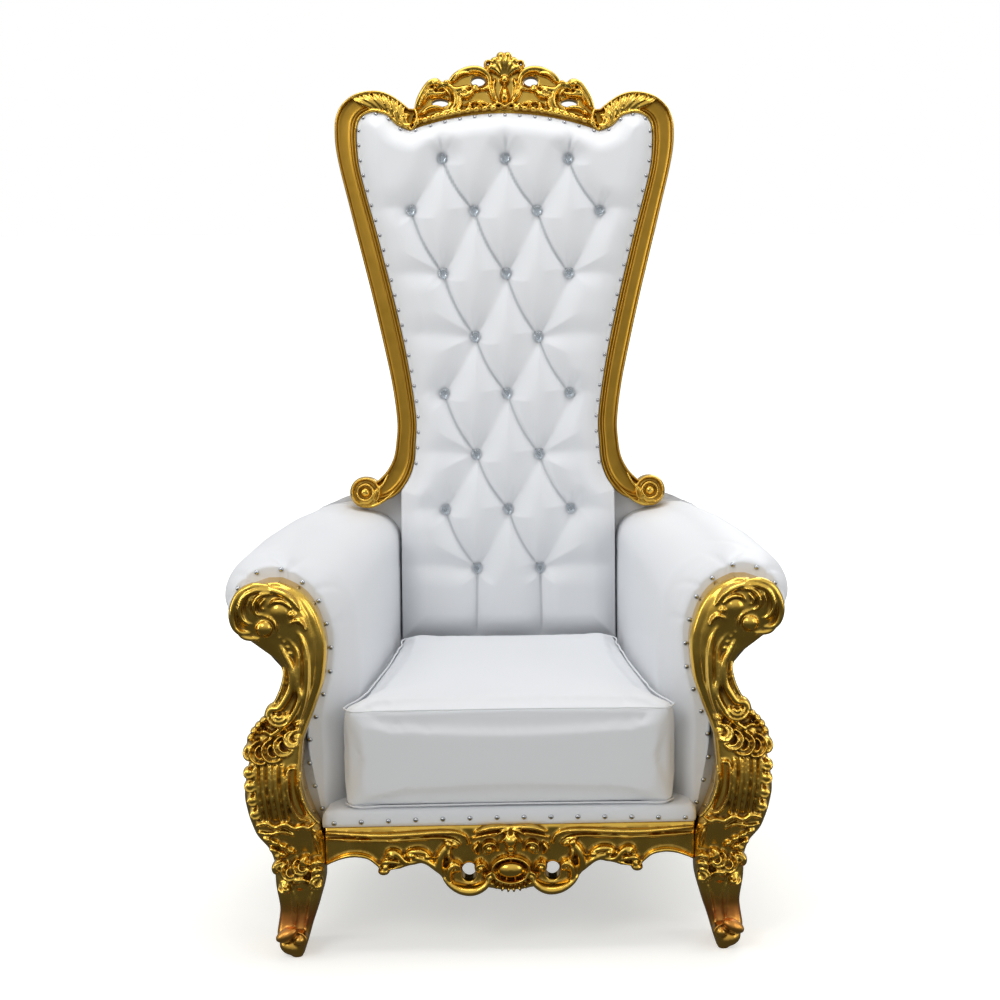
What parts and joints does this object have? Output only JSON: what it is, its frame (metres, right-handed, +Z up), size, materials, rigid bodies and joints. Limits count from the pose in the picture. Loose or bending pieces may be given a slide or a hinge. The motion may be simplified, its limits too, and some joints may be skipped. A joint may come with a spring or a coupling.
{
  "type": "throne chair",
  "caption": "High-back throne armchair: carved gilt frame, buttoned white leather back, rolled arms and a loose box seat cushion; one person sits between the arms.",
  "frame": {"origin": "on the floor, under the middle of the throne's box", "axes": "+Z up, the throne faces -Y, +X to the right of someone looking at its front"},
  "size_m": [1.032, 0.8828, 1.6501],
  "materials": {
    "gilding": "polished gold leaf paint over carved hardwood, darkened in the hollows",
    "white_leather": "smooth white synthetic leather, semi-matt, over foam",
    "crystal": "clear faceted crystal with a foil back",
    "nail_heads": "nickel-plated domed upholstery nails"
  },
  "bodies": {
    "root": {"front_post_left": "gilding", "front_post_right": "gilding", "front_rail": "gilding", "side_rail_left": "gilding", "side_rail_right": "gilding", "rear_rail": "gilding", "rear_leg_left": "gilding", "rear_leg_right": "gilding", "arm_left": "white_leather", "arm_right": "white_leather", "seat_deck": "white_leather", "seat_cushion": "white_leather", "back_frame_left": "gilding", "back_frame_right": "gilding", "crest": "gilding", "back_pad": "white_leather", "back_panel": "white_leather", "tuft_button_01": "crystal", "tuft_button_02": "crystal", "tuft_button_03": "crystal", "tuft_button_04": "crystal", "tuft_button_05": "crystal", "tuft_button_06": "crystal", "tuft_button_07": "crystal", "tuft_button_08": "crystal", "tuft_button_09": "crystal", "tuft_button_10": "crystal", "tuft_button_11": "crystal", "tuft_button_12": "crystal", "tuft_button_13": "crystal", "tuft_button_14": "crystal", "tuft_button_15": "crystal", "tuft_button_16": "crystal", "tuft_button_17": "crystal", "tuft_button_18": "crystal", "tuft_button_19": "crystal", "tuft_button_20": "crystal", "tuft_button_21": "crystal", "tuft_button_22": "crystal"}
  },
  "joints": []
}
